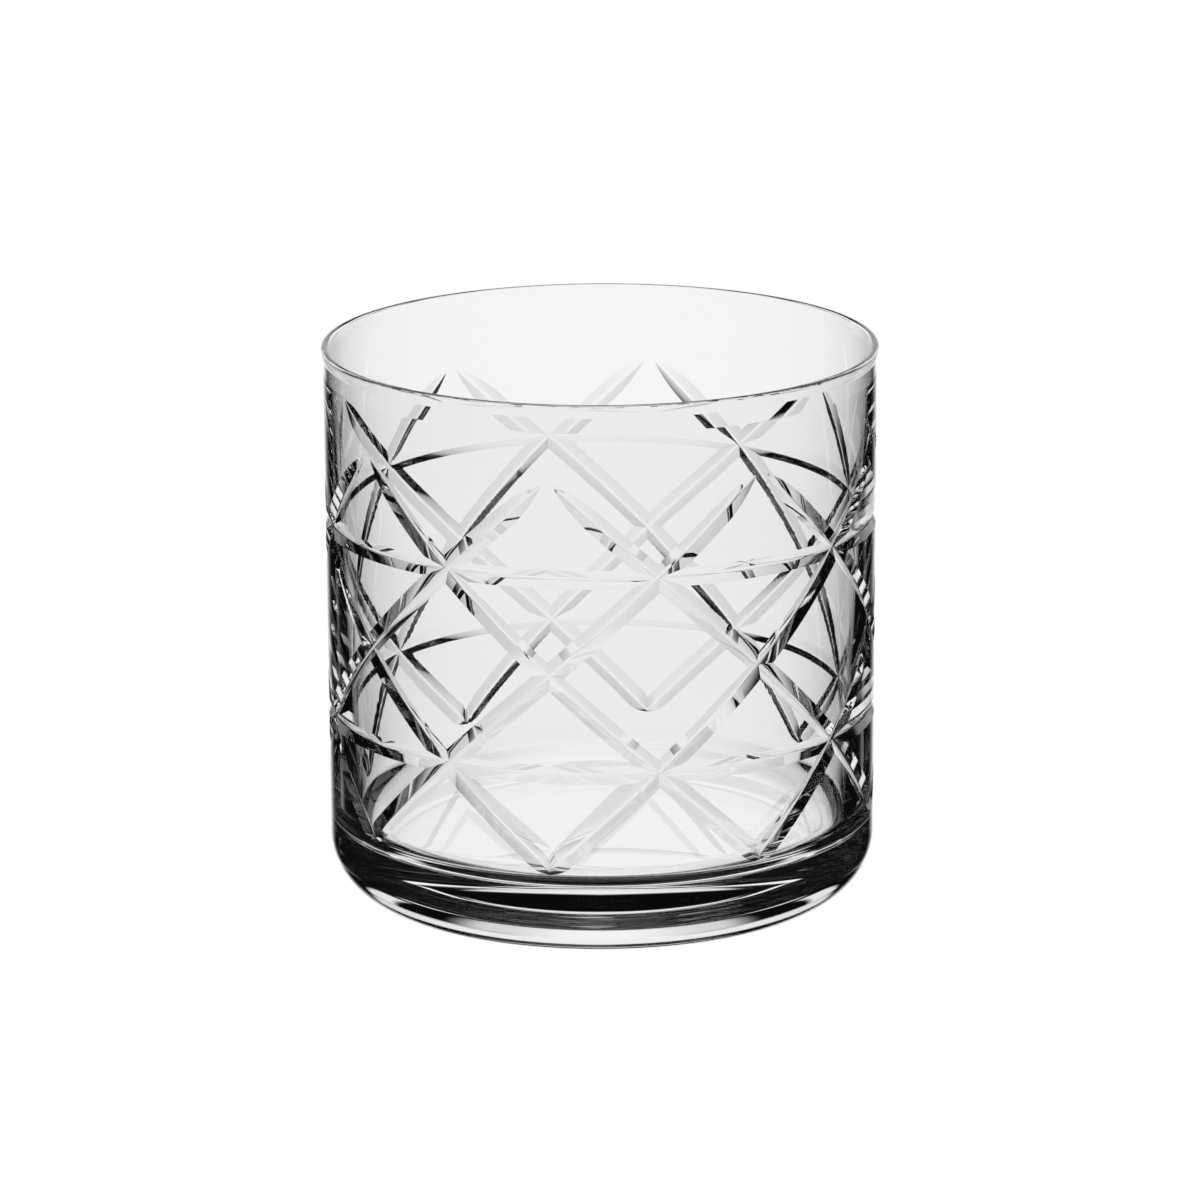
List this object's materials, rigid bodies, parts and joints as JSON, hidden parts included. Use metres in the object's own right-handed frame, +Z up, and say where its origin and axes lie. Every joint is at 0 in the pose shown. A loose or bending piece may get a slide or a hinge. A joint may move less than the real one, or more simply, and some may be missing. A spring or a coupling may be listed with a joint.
{
  "type": "whiskey tumbler",
  "caption": "Clear cut-crystal whiskey tumbler with a straight wall, thick base, rounded heel and a lattice of V cuts crossed by horizontal rings.",
  "frame": {"origin": "centre of the flat foot that the tumbler stands on", "axes": "+Z up along the axis of the glass, +X to the right and -Y towards the viewer"},
  "size_m": [0.088, 0.088, 0.089],
  "materials": {
    "crystal": "polished clear crystal"
  },
  "bodies": {
    "root": {"tumbler_body": "crystal"}
  },
  "joints": []
}
